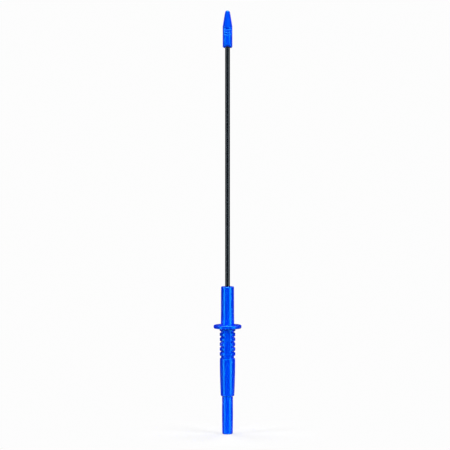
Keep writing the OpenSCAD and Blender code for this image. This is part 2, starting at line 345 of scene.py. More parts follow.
def turn_on_lathe(name, outline, hollow=True, sides=SIDES):
    """Pulls a ring from point to point of an outline. A hollow piece is bridged back to its first
    ring, and a solid one is capped at both ends."""
    empty_hands()
    radius, height = outline[0]
    bpy.ops.mesh.primitive_circle_add(vertices=sides, radius=radius, location=(0, 0, height))
    piece = bpy.context.object
    piece.name = name
    bpy.ops.object.transform_apply(location=True, rotation=True, scale=True)
    bpy.ops.object.mode_set(mode="EDIT")
    bpy.ops.mesh.select_all(action="SELECT")
    for next_radius, next_height in outline[1:]:
        rise = (0, 0, next_height - height)
        bpy.ops.mesh.extrude_edges_move(TRANSFORM_OT_translate={"value": rise})
        grow = next_radius / radius
        bpy.ops.transform.resize(value=(grow, grow, 1), center_override=(0, 0, next_height))
        radius, height = next_radius, next_height
    if not hollow:
        bpy.ops.mesh.edge_face_add()
    bpy.ops.object.mode_set(mode="OBJECT")
    count = len(piece.data.vertices)
    for vertex in piece.data.vertices:
        vertex.select = vertex.index < sides or (hollow and vertex.index >= count - sides)
    bpy.ops.object.mode_set(mode="EDIT")
    bpy.ops.mesh.select_mode(type="VERT")
    if hollow:
        bpy.ops.mesh.bridge_edge_loops()
    else:
        bpy.ops.mesh.edge_face_add()
    face_outwards(piece)
    return piece


def combine(piece, tool, operation="DIFFERENCE"):
    """Cuts a piece with a tool piece, or joins the two. The tool piece is used up."""
    take(piece)
    step = piece.modifiers.new("step", "BOOLEAN")
    step.operation = operation
    step.solver = "EXACT"
    step.object = tool
    bpy.ops.object.modifier_apply(modifier=step.name)
    bpy.data.objects.remove(tool, do_unlink=True)
    return piece


def block(name, low, high):
    """A rectangular tool piece between two corners."""
    empty_hands()
    middle = [(a + b) / 2 for a, b in zip(low, high)]
    bpy.ops.mesh.primitive_cube_add(size=1, location=middle)
    piece = bpy.context.object
    piece.name = name
    piece.scale = [b - a for a, b in zip(low, high)]
    bpy.ops.object.transform_apply(location=True, rotation=True, scale=True)
    return piece


def round_edges(piece, width, segments, wanted):
    """Bevels the edges that the wanted test picks, given an edge's two end points."""
    take(piece)
    bpy.ops.object.mode_set(mode="EDIT")
    bpy.ops.mesh.select_mode(type="EDGE")
    bpy.ops.mesh.select_all(action="DESELECT")
    bpy.ops.object.mode_set(mode="OBJECT")
    points = piece.data.vertices
    for edge in piece.data.edges:
        edge.select = wanted(points[edge.vertices[0]].co, points[edge.vertices[1]].co)
    bpy.ops.object.mode_set(mode="EDIT")
    bpy.ops.mesh.bevel(offset=width, segments=segments, profile=0.5, clamp_overlap=True)
    bpy.ops.object.mode_set(mode="OBJECT")


def raise_seam(piece, low_z, high_z, least_r):
    """Lifts the two rows of points at the sides a hair, as the mould's parting line leaves them."""
    for vertex in piece.data.vertices:
        x, y, z = vertex.co
        if abs(y) < 0.01 and abs(x) > least_r and low_z < z < high_z:
            vertex.co.x = x + math.copysign(SEAM_H, x)


def ship(piece, body, slot, material, *nodes):
    """Brings a piece down to metres, smooths it, gives it its finish, and ties it to its body."""
    take(piece)
    piece.scale = (MM, MM, MM)
    bpy.ops.object.transform_apply(location=True, rotation=True, scale=True)
    bpy.ops.object.shade_smooth_by_angle(angle=math.radians(SMOOTH_DEGREES))
    even = piece.modifiers.new("even", "WEIGHTED_NORMAL")
    even.keep_sharp = True
    bpy.ops.object.modifier_apply(modifier=even.name)
    piece.data.materials.clear()
    piece.data.materials.append(material)
    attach(piece, body)
    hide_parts(*nodes)
    return piece


def grain_group():
    """Shader group: fine grain of a moulded skin, with a slow cloudiness for colour and gloss."""
    group = bpy.data.node_groups.new("moulded_grain", "ShaderNodeTree")
    group.interface.new_socket(name="Grain Size", in_out="INPUT", socket_type="NodeSocketFloat")
    group.interface.new_socket(name="Cloud Size", in_out="INPUT", socket_type="NodeSocketFloat")
    group.interface.new_socket(name="Grain", in_out="OUTPUT", socket_type="NodeSocketFloat")
    group.interface.new_socket(name="Cloud", in_out="OUTPUT", socket_type="NodeSocketFloat")
    nodes, links = group.nodes, group.links
    given = nodes.new("NodeGroupInput")
    result = nodes.new("NodeGroupOutput")
    place = nodes.new("ShaderNodeTexCoord")
    for size, output, detail in (("Grain Size", "Grain", 3), ("Cloud Size", "Cloud", 2)):
        per_metre = nodes.new("ShaderNodeMath")
        per_metre.operation = "DIVIDE"
        per_metre.inputs[0].default_value = 1
        links.new(given.outputs[size], per_metre.inputs[1])
        noise = nodes.new("ShaderNodeTexNoise")
        noise.inputs["Detail"].default_value = detail
        links.new(place.outputs["Object"], noise.inputs["Vector"])
        links.new(per_metre.outputs[0], noise.inputs["Scale"])
        links.new(noise.outputs["Fac"], result.inputs[output])
    return group


GRAIN = grain_group()
GRAIN_SIZE_M = 0.00022
CLOUD_SIZE_M = 0.006
GRAIN_RELIEF = 0.12
GRAIN_HEIGHT_M = 0.00002
GRAIN_GLOSS_DRIFT = 0.04
NOISE_LOW = 0.3
NOISE_HIGH = 0.7
BLUE_GLINT = (0, 0.85, 1, 1)


def moulded_plastic(name, dark, light, gloss, glint, level):
    """A moulded plastic. Colour and roughness drift slowly, and the skin has a fine grain."""
    material = bpy.data.materials.new(name)
    material.use_nodes = True
    nodes, links = material.node_tree.nodes, material.node_tree.links
    skin = nodes["Principled BSDF"]
    skin.inputs["Specular IOR Level"].default_value = level
    skin.inputs["Specular Tint"].default_value = glint
    grain = nodes.new("ShaderNodeGroup")
    grain.node_tree = GRAIN
    grain.inputs["Grain Size"].default_value = GRAIN_SIZE_M
    grain.inputs["Cloud Size"].default_value = CLOUD_SIZE_M
    colour = nodes.new("ShaderNodeMix")
    colour.data_type = "RGBA"
    colour.inputs["A"].default_value = dark
    colour.inputs["B"].default_value = light
    links.new(grain.outputs["Cloud"], colour.inputs["Factor"])
    links.new(colour.outputs["Result"], skin.inputs["Base Color"])
    roughness = nodes.new("ShaderNodeMapRange")
    roughness.inputs["From Min"].default_value = NOISE_LOW
    roughness.inputs["From Max"].default_value = NOISE_HIGH
    roughness.inputs["To Min"].default_value = gloss - GRAIN_GLOSS_DRIFT
    roughness.inputs["To Max"].default_value = gloss + GRAIN_GLOSS_DRIFT
    links.new(grain.outputs["Grain"], roughness.inputs["Value"])
    links.new(roughness.outputs["Result"], skin.inputs["Roughness"])
    relief = nodes.new("ShaderNodeBump")
    relief.inputs["Strength"].default_value = GRAIN_RELIEF
    relief.inputs["Distance"].default_value = GRAIN_HEIGHT_M
    links.new(grain.outputs["Grain"], relief.inputs["Height"])
    links.new(relief.outputs["Normal"], skin.inputs["Normal"])
    return material


BLUE = moulded_plastic(
    "blue_nylon",
    dark=(0, 0.025, 0.74, 1),
    light=(0, 0.030, 0.81, 1),
    gloss=0.25,
    glint=BLUE_GLINT,
    level=1,
)

guard_wall_r = GUARD_R - GUARD_EDGE
waist_r = BARREL_REAR_R - BARREL_WAIST
flare_r = BARREL_FRONT_R + BARREL_FLARE
handle_outline = (
    [(BLANK_R, handle_low.z), (SPIGOT_R - SPIGOT_EDGE, handle_low.z)]
    + [(SPIGOT_R, handle_low.z + SPIGOT_EDGE), (SPIGOT_R, tail_high.z - SPIGOT_DROP)]
    + [(CORE_R, tail_high.z), (CORE_R, COLLAR_Z - COLLAR_ROOT)]
    + arc(CORE_R + COLLAR_ROOT, COLLAR_Z - COLLAR_ROOT, COLLAR_ROOT, 180, 90, 4)
    + arc(RIB_R - COLLAR_EDGE, COLLAR_Z + COLLAR_EDGE, COLLAR_EDGE, -90, 0, 4)
    + arc(RIB_R + NECK_ROOT, COLLAR_TOP_Z - NECK_DROP, NECK_ROOT, 180, 105, 3)
    + arc(guard_wall_r, GUARD_UNDER_Z + GUARD_EDGE, GUARD_EDGE, -78, 0, 6)
    + arc(guard_wall_r, GUARD_TOP_Z - GUARD_EDGE, GUARD_EDGE, 0, 90, 7)
    + [(ring_r, GUARD_TOP_Z) for ring_r in GUARD_FACE_RINGS]
    + arc(BARREL_REAR_R + BARREL_FILLET, GUARD_TOP_Z + BARREL_FILLET, BARREL_FILLET, 270, 180, 4)
    + [(waist_r, GUARD_TOP_Z + BARREL_WAIST_UP), (flare_r, GUARD_TOP_Z + BARREL_FLARE_UP)]
    + [(BARREL_FRONT_R, GUARD_TOP_Z + BARREL_STRAIGHT_UP)]
    + arc(BARREL_FRONT_R - BARREL_EDGE, handle_high.z - BARREL_EDGE, BARREL_EDGE, 0, 90, 6)
    + [(FRONT_FACE_R, handle_high.z), (BLANK_R, handle_high.z)]
)
handle = turn_on_lathe("handle_moulding", handle_outline, hollow=False)
raise_seam(handle, COLLAR_Z, handle_high.z - BARREL_EDGE, BARREL_FRONT_R - 0.1)

# A sunk channel runs along each side of the two strips.
for side_x in (-1, 1):
    for side_y in (-1, 1):
        wall_x = sorted((side_x * (STRIP_W / 2 - CHANNEL_LAP), side_x * CHANNEL_X))
        wall_y = sorted((side_y * CHANNEL_Y, side_y * CHANNEL_OUT_Y))
        channel_low = (wall_x[0], wall_y[0], tail_high.z - CHANNEL_LAP)
        combine(handle, block("channel", channel_low, (wall_x[1], wall_y[1], COLLAR_Z)))

# Each rib is a ring with rounded edges, cut away where the strips run through it.
rib_half = RIB_LEN / 2
for count in range(RIB_COUNT):
    rib_z = COLLAR_Z - TOP_RIB_DROP - count * RIB_PITCH
    rib_outline = (
        [(RIB_ROOT_R, rib_z - rib_half), (CORE_R + RIB_FOOT, rib_z - rib_half)]
        + arc(RIB_R - RIB_EDGE, rib_z - rib_half + RIB_EDGE, RIB_EDGE, -90, 0, 6)
        + arc(RIB_R - RIB_EDGE, rib_z + rib_half - RIB_EDGE, RIB_EDGE, 0, 90, 6)
        + [(CORE_R + RIB_FOOT, rib_z + rib_half), (RIB_ROOT_R, rib_z + rib_half)]
    )
    rib = turn_on_lathe("rib", rib_outline)
    room_x = STRIP_W / 2 - STRIP_LAP
    for side in (-1, 1):
        room_y = sorted((side * STRIP_FLAT / 2 - side * STRIP_SINK, side * STRIP_ROOM_Y))
        room_low = (-room_x, room_y[0], rib_z - STRIP_ROOM_H)
        combine(rib, block("strip_room", room_low, (room_x, room_y[1], rib_z + STRIP_ROOM_H)))
    combine(handle, rib, "UNION")

# One block makes both strips. Its long edges and its lower ends are rounded.
strip_low = (-STRIP_W / 2, -STRIP_FLAT / 2, tail_high.z + STRIP_END_GAP)
strip_high = (STRIP_W / 2, STRIP_FLAT / 2, COLLAR_Z + STRIP_INTO_COLLAR)
strip = block("strip", strip_low, strip_high)


def runs_along(a, b):
    """True for an edge that runs along the probe."""
    return abs(a.z - b.z) > 1


def closes_lower_end(a, b):
    """True for an edge across the strip's lower end."""
    return max(a.z, b.z) < strip_low[2] + 0.01 and abs(a.x - b.x) > 1


round_edges(strip, STRIP_EDGE, 4, runs_along)
round_edges(strip, STRIP_END_EDGE, 2, closes_lower_end)
combine(handle, strip, "UNION")

bore_outline = [
    (PLUNGER_BORE_R + PLUNGER_LEAD_R, handle_low.z - BORE_PAST_REAR),
    (PLUNGER_BORE_R + PLUNGER_LEAD_R, handle_low.z),
    (PLUNGER_BORE_R, handle_low.z + PLUNGER_LEAD_LEN),
    (PLUNGER_BORE_R, PLUNGER_BORE_END_Z),
    (SPRING_BORE_R, PLUNGER_BORE_END_Z + SPRING_LEAD_LEN),
    (SPRING_BORE_R, SPRING_BORE_END_Z),
    (FERRULE_BORE_R, SPRING_BORE_END_Z),
    (FERRULE_BORE_R, FERRULE_BORE_END_Z),
    (SHAFT_BORE_R, FERRULE_BORE_END_Z),
    (SHAFT_BORE_R, handle_high.z - SHAFT_MOUTH_LEN),
    (SHAFT_BORE_R + SHAFT_MOUTH_R, handle_high.z),
    (SHAFT_BORE_R + BORE_PAST_FRONT_R, handle_high.z + BORE_PAST_FRONT),
]
combine(handle, turn_on_lathe("bore", bore_outline, hollow=False))
face_outwards(handle)

# The cuts leave a few pinholes of three or four sides, and flat faces of many sides. The pinholes
# are filled and the many-sided faces are split into triangles.
bpy.ops.object.mode_set(mode="EDIT")
bpy.ops.mesh.fill_holes(sides=4)
bpy.ops.mesh.select_mode(type="FACE")
bpy.ops.mesh.select_all(action="DESELECT")
bpy.ops.mesh.select_face_by_sides(number=4, type="GREATER")
bpy.ops.mesh.quads_convert_to_tris(quad_method="BEAUTY", ngon_method="BEAUTY")
bpy.ops.object.mode_set(mode="OBJECT")
face_outwards(handle)
ship(handle, "handle_body", "blue_plastic", BLUE, "handle")

# ---------------------------------------------------------------------------
# Ferrule, conduit and liner.
# The flanged brass bush is pressed into the barrel and soldered to the close-wound steel conduit,
# which takes the thrust of the cable. A slippery plastic liner inside the conduit guides the cable.

TARNISH_SCALE = 260
RING_MM = 0.12
RING_RELIEF = 0.25
RING_HEIGHT_M = 0.000015
RING_GLOSS_DRIFT = 0.06
WIRE_RING_MM = 0.05
WIRE_GLOSS = 0.34
WIRE_RELIEF = 0.8
WIRE_HEIGHT_M = 0.00006


def turned_marks_group():
    """Shader group: the fine rings and the slow tarnish that turning leaves on a metal surface."""
    group = bpy.data.node_groups.new("turned_marks", "ShaderNodeTree")
    group.interface.new_socket(name="Ring Width", in_out="INPUT", socket_type="NodeSocketFloat")
    group.interface.new_socket(name="Rings", in_out="OUTPUT", socket_type="NodeSocketFloat")
    group.interface.new_socket(name="Tarnish", in_out="OUTPUT", socket_type="NodeSocketFloat")
    nodes, links = group.nodes, group.links
    given = nodes.new("NodeGroupInput")
    result = nodes.new("NodeGroupOutput")
    place = nodes.new("ShaderNodeTexCoord")
    parts = nodes.new("ShaderNodeSeparateXYZ")
    links.new(place.outputs["Object"], parts.inputs[0])
    along = nodes.new("ShaderNodeMath")
    along.operation = "DIVIDE"
    links.new(parts.outputs["Z"], along.inputs[0])
    links.new(given.outputs["Ring Width"], along.inputs[1])
    rings = nodes.new("ShaderNodeTexNoise")
    rings.noise_dimensions = "1D"
    rings.inputs["Scale"].default_value = 1
    rings.inputs["Detail"].default_value = 4
    links.new(along.outputs[0], rings.inputs["W"])
    links.new(rings.outputs["Fac"], result.inputs["Rings"])
    tarnish = nodes.new("ShaderNodeTexNoise")
    tarnish.inputs["Scale"].default_value = TARNISH_SCALE
    tarnish.inputs["Detail"].default_value = 3
    links.new(place.outputs["Object"], tarnish.inputs["Vector"])
    links.new(tarnish.outputs["Fac"], result.inputs["Tarnish"])
    return group


TURNED_MARKS = turned_marks_group()


def turned_metal(name, bright, dull, gloss, ring_mm=RING_MM):
    """A turned or drawn metal with fine rings and a slow drift of tarnish."""
    material = bpy.data.materials.new(name)
    material.use_nodes = True
    nodes, links = material.node_tree.nodes, material.node_tree.links
    skin = nodes["Principled BSDF"]
    skin.inputs["Metallic"].default_value = 1
    marks = nodes.new("ShaderNodeGroup")
    marks.node_tree = TURNED_MARKS
    marks.inputs["Ring Width"].default_value = ring_mm * MM
    colour = nodes.new("ShaderNodeMix")
    colour.data_type = "RGBA"
    colour.inputs["A"].default_value = bright
    colour.inputs["B"].default_value = dull
    links.new(marks.outputs["Tarnish"], colour.inputs["Factor"])
    links.new(colour.outputs["Result"], skin.inputs["Base Color"])
    roughness = nodes.new("ShaderNodeMapRange")
    roughness.inputs["From Min"].default_value = NOISE_LOW
    roughness.inputs["From Max"].default_value = NOISE_HIGH
    roughness.inputs["To Min"].default_value = gloss - RING_GLOSS_DRIFT
    roughness.inputs["To Max"].default_value = gloss + RING_GLOSS_DRIFT
    links.new(marks.outputs["Rings"], roughness.inputs["Value"])
    links.new(roughness.outputs["Result"], skin.inputs["Roughness"])
    relief = nodes.new("ShaderNodeBump")
    relief.inputs["Strength"].default_value = RING_RELIEF
    relief.inputs["Distance"].default_value = RING_HEIGHT_M
    links.new(marks.outputs["Rings"], relief.inputs["Height"])
    links.new(relief.outputs["Normal"], skin.inputs["Normal"])
    return material


BRASS = turned_metal(
    "turned_brass_finish", bright=(0.86, 0.62, 0.27, 1), dull=(0.70, 0.47, 0.17, 1), gloss=0.27
)
STEEL = turned_metal(
    "spring_steel_finish", bright=(0.42, 0.43, 0.45, 1), dull=(0.30, 0.31, 0.33, 1), gloss=0.32
)


def dress(node, material):
    """Gives a CAD node that stays as it is its finish."""
    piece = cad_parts[node]
    piece.data.materials.clear()
    piece.data.materials.append(material)


def wound_wire(name, pitch_mm, starts, bright, dull):
    """Drawn wire laid round the Z axis: one start for a close coil, several for a strand."""
    material = turned_metal(name, bright, dull, gloss=WIRE_GLOSS, ring_mm=WIRE_RING_MM)
    nodes, links = material.node_tree.nodes, material.node_tree.links
    place = nodes.new("ShaderNodeTexCoord")
    parts = nodes.new("ShaderNodeSeparateXYZ")
    links.new(place.outputs["Object"], parts.inputs[0])
    round_it = nodes.new("ShaderNodeMath")
    round_it.operation = "ARCTAN2"
    links.new(parts.outputs["Y"], round_it.inputs[0])
    links.new(parts.outputs["X"], round_it.inputs[1])
    twist = nodes.new("ShaderNodeMath")
    twist.operation = "MULTIPLY"
    twist.inputs[1].default_value = starts
    links.new(round_it.outputs[0], twist.inputs[0])
    climb = nodes.new("ShaderNodeMath")
    climb.operation = "MULTIPLY_ADD"
    climb.inputs[1].default_value = 2 * math.pi / (pitch_mm * MM)
    links.new(parts.outputs["Z"], climb.inputs[0])
    links.new(twist.outputs[0], climb.inputs[2])
    wave = nodes.new("ShaderNodeMath")
    wave.operation = "SINE"
    links.new(climb.outputs[0], wave.inputs[0])
    relief = nodes["Bump"]
    relief.inputs["Strength"].default_value = WIRE_RELIEF
    relief.inputs["Distance"].default_value = WIRE_HEIGHT_M
    links.new(wave.outputs[0], relief.inputs["Height"])
    return material


COIL = wound_wire(
    "wound_steel_finish",
    pitch_mm=0.5,
    starts=1,
    bright=(0.60, 0.61, 0.63, 1),
    dull=(0.44, 0.45, 0.47, 1),
)
STRAND = wound_wire(
    "stranded_steel_finish",
    pitch_mm=6,
    starts=6,
    bright=(0.60, 0.60, 0.60, 1),
    dull=(0.46, 0.45, 0.43, 1),
)
LINER = moulded_plastic(
    "liner_white",
    dark=(0.78, 0.78, 0.75, 1),
    light=(0.86, 0.86, 0.84, 1),
    gloss=0.4,
    glint=(1, 1, 1, 1),
    level=0.4,
)

dress("barrel_ferrule", BRASS)
dress("shaft_conduit", COIL)
dress("conduit_liner", LINER)

# ---------------------------------------------------------------------------
# Shaft sleeve.
# A glossy black plastic tube drawn over the conduit. It runs from inside the barrel into the nose,
# and its extruded skin has faint lines along its length.

sleeve_low, sleeve_high = (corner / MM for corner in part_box("shaft_sleeve"))
SLEEVE_SIDES = 64
SLEEVE_BORE_R = 1.03
SLEEVE_RINGS = 24
SLEEVE_EDGE = 0.15
SLEEVE_END = 0.2
SLEEVE_LEVEL = 0.32
SLEEVE_GLINT = (0.75, 0.92, 1, 1)
STREAK_SCALE = (6000, 6000, 60)
STREAK_LIGHTER = 1.6
STREAK_GLOSS_DRIFT = 0.04
STREAK_RELIEF = 0.02
STREAK_HEIGHT_M = 0.00002


def extruded_plastic(name, colour, gloss):
    """A glossy extruded plastic. The die leaves faint streaks along Z."""
    material = bpy.data.materials.new(name)
    material.use_nodes = True
    nodes, links = material.node_tree.nodes, material.node_tree.links
    skin = nodes["Principled BSDF"]
    skin.inputs["Specular IOR Level"].default_value = SLEEVE_LEVEL
    skin.inputs["Specular Tint"].default_value = SLEEVE_GLINT
    place = nodes.new("ShaderNodeTexCoord")
    drawn = nodes.new("ShaderNodeMapping")
    drawn.inputs["Scale"].default_value = STREAK_SCALE
    links.new(place.outputs["Object"], drawn.inputs["Vector"])
    streaks = nodes.new("ShaderNodeTexNoise")
    streaks.inputs["Scale"].default_value = 1
    streaks.inputs["Detail"].default_value = 3
    links.new(drawn.outputs["Vector"], streaks.inputs["Vector"])
    shade = nodes.new("ShaderNodeMix")
    shade.data_type = "RGBA"
    shade.inputs["A"].default_value = colour
    shade.inputs["B"].default_value = [STREAK_LIGHTER * value for value in colour[:3]] + [1]
    links.new(streaks.outputs["Fac"], shade.inputs["Factor"])
    links.new(shade.outputs["Result"], skin.inputs["Base Color"])
    roughness = nodes.new("ShaderNodeMapRange")
    roughness.inputs["To Min"].default_value = gloss - STREAK_GLOSS_DRIFT
    roughness.inputs["To Max"].default_value = gloss + STREAK_GLOSS_DRIFT
    links.new(streaks.outputs["Fac"], roughness.inputs["Value"])
    links.new(roughness.outputs["Result"], skin.inputs["Roughness"])
    relief = nodes.new("ShaderNodeBump")
    relief.inputs["Strength"].default_value = STREAK_RELIEF
    relief.inputs["Distance"].default_value = STREAK_HEIGHT_M
    links.new(streaks.outputs["Fac"], relief.inputs["Height"])
    links.new(relief.outputs["Normal"], skin.inputs["Normal"])
    return material


BLACK = extruded_plastic("black_sleeve_finish", (0.0012, 0.0016, 0.003, 1), gloss=0.2)

sleeve_r = sleeve_high.x
edge_r = sleeve_r - SLEEVE_EDGE
ring_step = (sleeve_high.z - sleeve_low.z - 2 * SLEEVE_END) / SLEEVE_RINGS
sleeve_rings = [sleeve_low.z + SLEEVE_END + count * ring_step for count in range(1, SLEEVE_RINGS)]
sleeve_outline = (
    [(SLEEVE_BORE_R, sleeve_low.z)]
    + arc(edge_r, sleeve_low.z + SLEEVE_EDGE, SLEEVE_EDGE, -90, 0, 3)
    + [(sleeve_r, ring_z) for ring_z in sleeve_rings]
    + arc(edge_r, sleeve_high.z - SLEEVE_EDGE, SLEEVE_EDGE, 0, 90, 3)
    + [(SLEEVE_BORE_R, sleeve_high.z)]
)
sleeve = turn_on_lathe("shaft_cover", sleeve_outline, sides=SLEEVE_SIDES)
ship(sleeve, "handle_body", "black_plastic", BLACK, "shaft_sleeve")

# ---------------------------------------------------------------------------
# Nose and its tip bush.
# The nose is a coloured moulding with two flats, three curved finger grooves and an arched rear
# edge. It is pushed on the front end of the shaft, against the brass bush that closes the conduit.

nose_z = (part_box("nose")[0] / MM).z
NOSE_SIDES = 120
NOSE_LEN = 23
nose_top_z = nose_z + NOSE_LEN
AXIS_R = 0.05
NOSE_R = 2.9
NOSE_TIP_R = 1.5
NOSE_SHOULDER_R = 1.2
NOSE_SHOULDER_DROP = 0.1
NOSE_SHOULDER_ROOM = 0.2
NOSE_REAR_EDGE = 0.3
NOSE_RING_GAP = 0.05
NOSE_TAPER_Z = nose_z + 13.2
FLAT_Z = nose_z + 12.6
FLAT_LEAN = 8.75
FLAT_BLEND = 0.16
GROOVE_COUNT = 3
GROOVE_Z = nose_z + 11.35
GROOVE_PITCH = 1.55
GROOVE_DEPTH = 0.5
GROOVE_HALF_W = 0.7
GROOVE_ARC_R = 3.3
GROOVE_END_X = 2.3
GROOVE_FADE_X = 0.5
LIP_H = 0.12
LIP_W = 0.8
NOSE_MOUTH_R = 1.9
NOSE_MOUTH_LEN = 1.4
NOSE_MOUTH_EDGE = 0.18
NOSE_EDGE_H = 0.7
ARCH_TOP_Z = nose_z + 2.35
ARCH_R = 2.17
ARCH_INNER_R = 1.9
ARCH_INNER_Z = nose_z - 0.95
GUIDE_R = 1.3
BUSH_TOP_Z = nose_z + 8.7
GUIDE_TOP_Z = nose_z + 19.9
CLAW_SLOT_X = 1.22
CLAW_SLOT_Y = 0.6
FORK_SLOT_X = 0.7
FORK_SLOT_Y = 0.96
FORK_SLOT_TOP_Z = nose_z + 21.6

dome_z = nose_top_z - NOSE_TIP_R
arched_top_z = nose_z + 4.2
groove_low_z = GROOVE_Z - 2 * GROOVE_PITCH - 1
ARCHED_RINGS = 36
PLAIN_RINGS = 6
GROOVED_RINGS = 72
CONE_RINGS = 24


def steps_between(low, high, count):
    """Evenly spaced values from low to just short of high."""
    return [low + (high - low) * step / count for step in range(count)]


dome_start_r, dome_start_z = arc(0, dome_z, NOSE_TIP_R, 9, 9, 1)[0]
cone = [
    (
        NOSE_R + (dome_start_r - NOSE_R) * share,
        NOSE_TAPER_Z + (dome_start_z - NOSE_TAPER_Z) * share,
    )
    for share in steps_between(0, 1, CONE_RINGS)[1:]
]
wall_levels = (
    steps_between(nose_z + NOSE_EDGE_H + NOSE_RING_GAP, arched_top_z, ARCHED_RINGS)
    + steps_between(arched_top_z, groove_low_z, PLAIN_RINGS)
    + steps_between(groove_low_z, NOSE_TAPER_Z - NOSE_SHOULDER_ROOM, GROOVED_RINGS)
)
mouth_edge_r = NOSE_MOUTH_R + NOSE_MOUTH_EDGE
rear_edge_z = nose_z + NOSE_EDGE_H - NOSE_RING_GAP
shoulder_z = NOSE_TAPER_Z - NOSE_SHOULDER_DROP
nose_outline = (
    [(AXIS_R, GUIDE_TOP_Z), (GUIDE_R, GUIDE_TOP_Z)]
    + [(GUIDE_R, BUSH_TOP_Z), (SHAFT_BORE_R, BUSH_TOP_Z)]
    + [(SHAFT_BORE_R, nose_z + NOSE_MOUTH_LEN), (NOSE_MOUTH_R, nose_z + NOSE_MOUTH_LEN)]
    + arc(mouth_edge_r, nose_z + NOSE_MOUTH_EDGE, NOSE_MOUTH_EDGE, 180, 290, 4)
    + arc(NOSE_R - NOSE_REAR_EDGE, rear_edge_z, NOSE_REAR_EDGE, -45, 0, 4)
    + [(NOSE_R, level_z) for level_z in wall_levels]
    + arc(NOSE_R - NOSE_SHOULDER_R, shoulder_z, NOSE_SHOULDER_R, 0, 9.4, 3)
    + cone
    + arc(0, dome_z, NOSE_TIP_R, 9, 86, 12)
    + [(AXIS_R, nose_top_z)]
)
nose = turn_on_lathe("nose_moulding", nose_outline, hollow=False, sides=NOSE_SIDES)


def soft_least(first, second, blend):
    """The lesser of two values, with a rounded change from one to the other."""
    near = max(blend - abs(first - second), 0) / blend
    return min(first, second) - near * near * blend / 4


def arch_lift(x, centre_z, radius, rest_z):
    """How far the arched rear edge stands above its lowest level, at x from the middle."""
    if abs(x) >= radius:
        return 0
    return max(centre_z + math.sqrt(radius * radius - x * x) - rest_z, 0)


for vertex in nose.data.vertices:
    x, y, z = vertex.co
    radius = math.hypot(x, y)
    outside = z > GUIDE_TOP_Z + 0.1 or radius > SHAFT_BORE_R + 0.1
    if not outside or radius < AXIS_R + 0.01:
        continue
    # The rear edge is arched in front and behind, with a low lip round the arch.
    if z < arched_top_z:
        outer = arch_lift(x, ARCH_TOP_Z - ARCH_R, ARCH_R, nose_z + NOSE_EDGE_H)
        inner = arch_lift(x, ARCH_INNER_Z, ARCH_INNER_R, nose_z)
        out_share = min(max((radius - NOSE_MOUTH_R) / (NOSE_R - NOSE_MOUTH_R), 0), 1)
        if radius < NOSE_MOUTH_R + 0.01:
            fade = (nose_z + NOSE_MOUTH_LEN - z) / NOSE_MOUTH_LEN
        elif radius > NOSE_R - 0.01:
            fade = (arched_top_z - z) / (arched_top_z - nose_z - NOSE_EDGE_H)
        else:
            fade = 1
        edge_z = nose_z + NOSE_EDGE_H + outer
        z += (inner + (outer - inner) * out_share) * min(max(fade, 0), 1)
        above = (z - edge_z) / LIP_W
        if radius > NOSE_R - 0.01 and 0 < above < 1 and abs(x) < ARCH_R:
            swell = 0.5 - 0.5 * math.cos(2 * math.pi * above)
            radius += LIP_H * swell * (1 - (x / ARCH_R) ** 2)
    # The finger grooves curve down in the middle and run out towards the sides.
    elif groove_low_z < z < NOSE_TAPER_Z + 1.5 and abs(x) < GROOVE_END_X:
        sag = GROOVE_ARC_R - math.sqrt(GROOVE_ARC_R ** 2 - x * x)
        depth = GROOVE_DEPTH * min((GROOVE_END_X - abs(x)) / GROOVE_FADE_X, 1)
        for count in range(GROOVE_COUNT):
            off = abs(z - sag - (GROOVE_Z - count * GROOVE_PITCH)) / GROOVE_HALF_W
            if off < 1:
                radius -= depth * (0.5 + 0.5 * math.cos(math.pi * off))
    # The two flats lean in towards the tip.
    round_r = math.hypot(x, y)
    if z > FLAT_Z - 2 and abs(y) > 0.05:
        half_depth = NOSE_R - (z - FLAT_Z) * math.tan(math.radians(FLAT_LEAN))
        radius = soft_least(radius, half_depth * round_r / abs(y), FLAT_BLEND)
    vertex.co = (x * radius / round_r, y * radius / round_r, z)

raise_seam(nose, nose_z + NOSE_EDGE_H + 0.3, dome_z, SHAFT_BORE_R + 0.1)
claw_slot_low = (-CLAW_SLOT_X, -CLAW_SLOT_Y, BUSH_TOP_Z)
claw_slot = block("claw_slot", claw_slot_low, (CLAW_SLOT_X, CLAW_SLOT_Y, nose_top_z + 1))
combine(nose, claw_slot)
fork_slot_low = (-FORK_SLOT_X, -FORK_SLOT_Y, BUSH_TOP_Z)
fork_slot = block("fork_slot", fork_slot_low, (FORK_SLOT_X, FORK_SLOT_Y, FORK_SLOT_TOP_Z))
combine(nose, fork_slot)
NOSE_BLUE = moulded_plastic(
    "blue_nose",
    dark=(0, 0.027, 0.76, 1),
    light=(0, 0.032, 0.83, 1),
    gloss=0.32,
    glint=BLUE_GLINT,
    level=1,
)
ship(nose, "handle_body", "blue_plastic", NOSE_BLUE, "nose")
dress("tip_bush", BRASS)

# ---------------------------------------------------------------------------
# Claws, their carrier and the push cable.
# Two hooked claws, pressed from spring steel strip with slightly rounded edges, turn on a pin in
# the fork of a brass slug. The slug is crimped on the stranded steel cable, which runs back through
# the shaft.

CLAW_EDGE = 0.045
CLAW_CORNER_DEGREES = 35


def copy_of_solid(node):
    """A millimetre copy of a CAD node, with its flat faces whole again."""
    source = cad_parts[node]
    piece = bpy.data.objects.new(node + "_dressed", source.data.copy())
    bpy.context.scene.collection.objects.link(piece)
    take(piece)
    piece.scale = (1 / MM, 1 / MM, 1 / MM)
    bpy.ops.object.transform_apply(location=True, rotation=True, scale=True)
    face_outwards(piece)
    bpy.ops.object.mode_set(mode="EDIT")
    bpy.ops.mesh.select_all(action="SELECT")
    bpy.ops.mesh.dissolve_limited(angle_limit=math.radians(1))
    bpy.ops.object.mode_set(mode="OBJECT")
    return piece


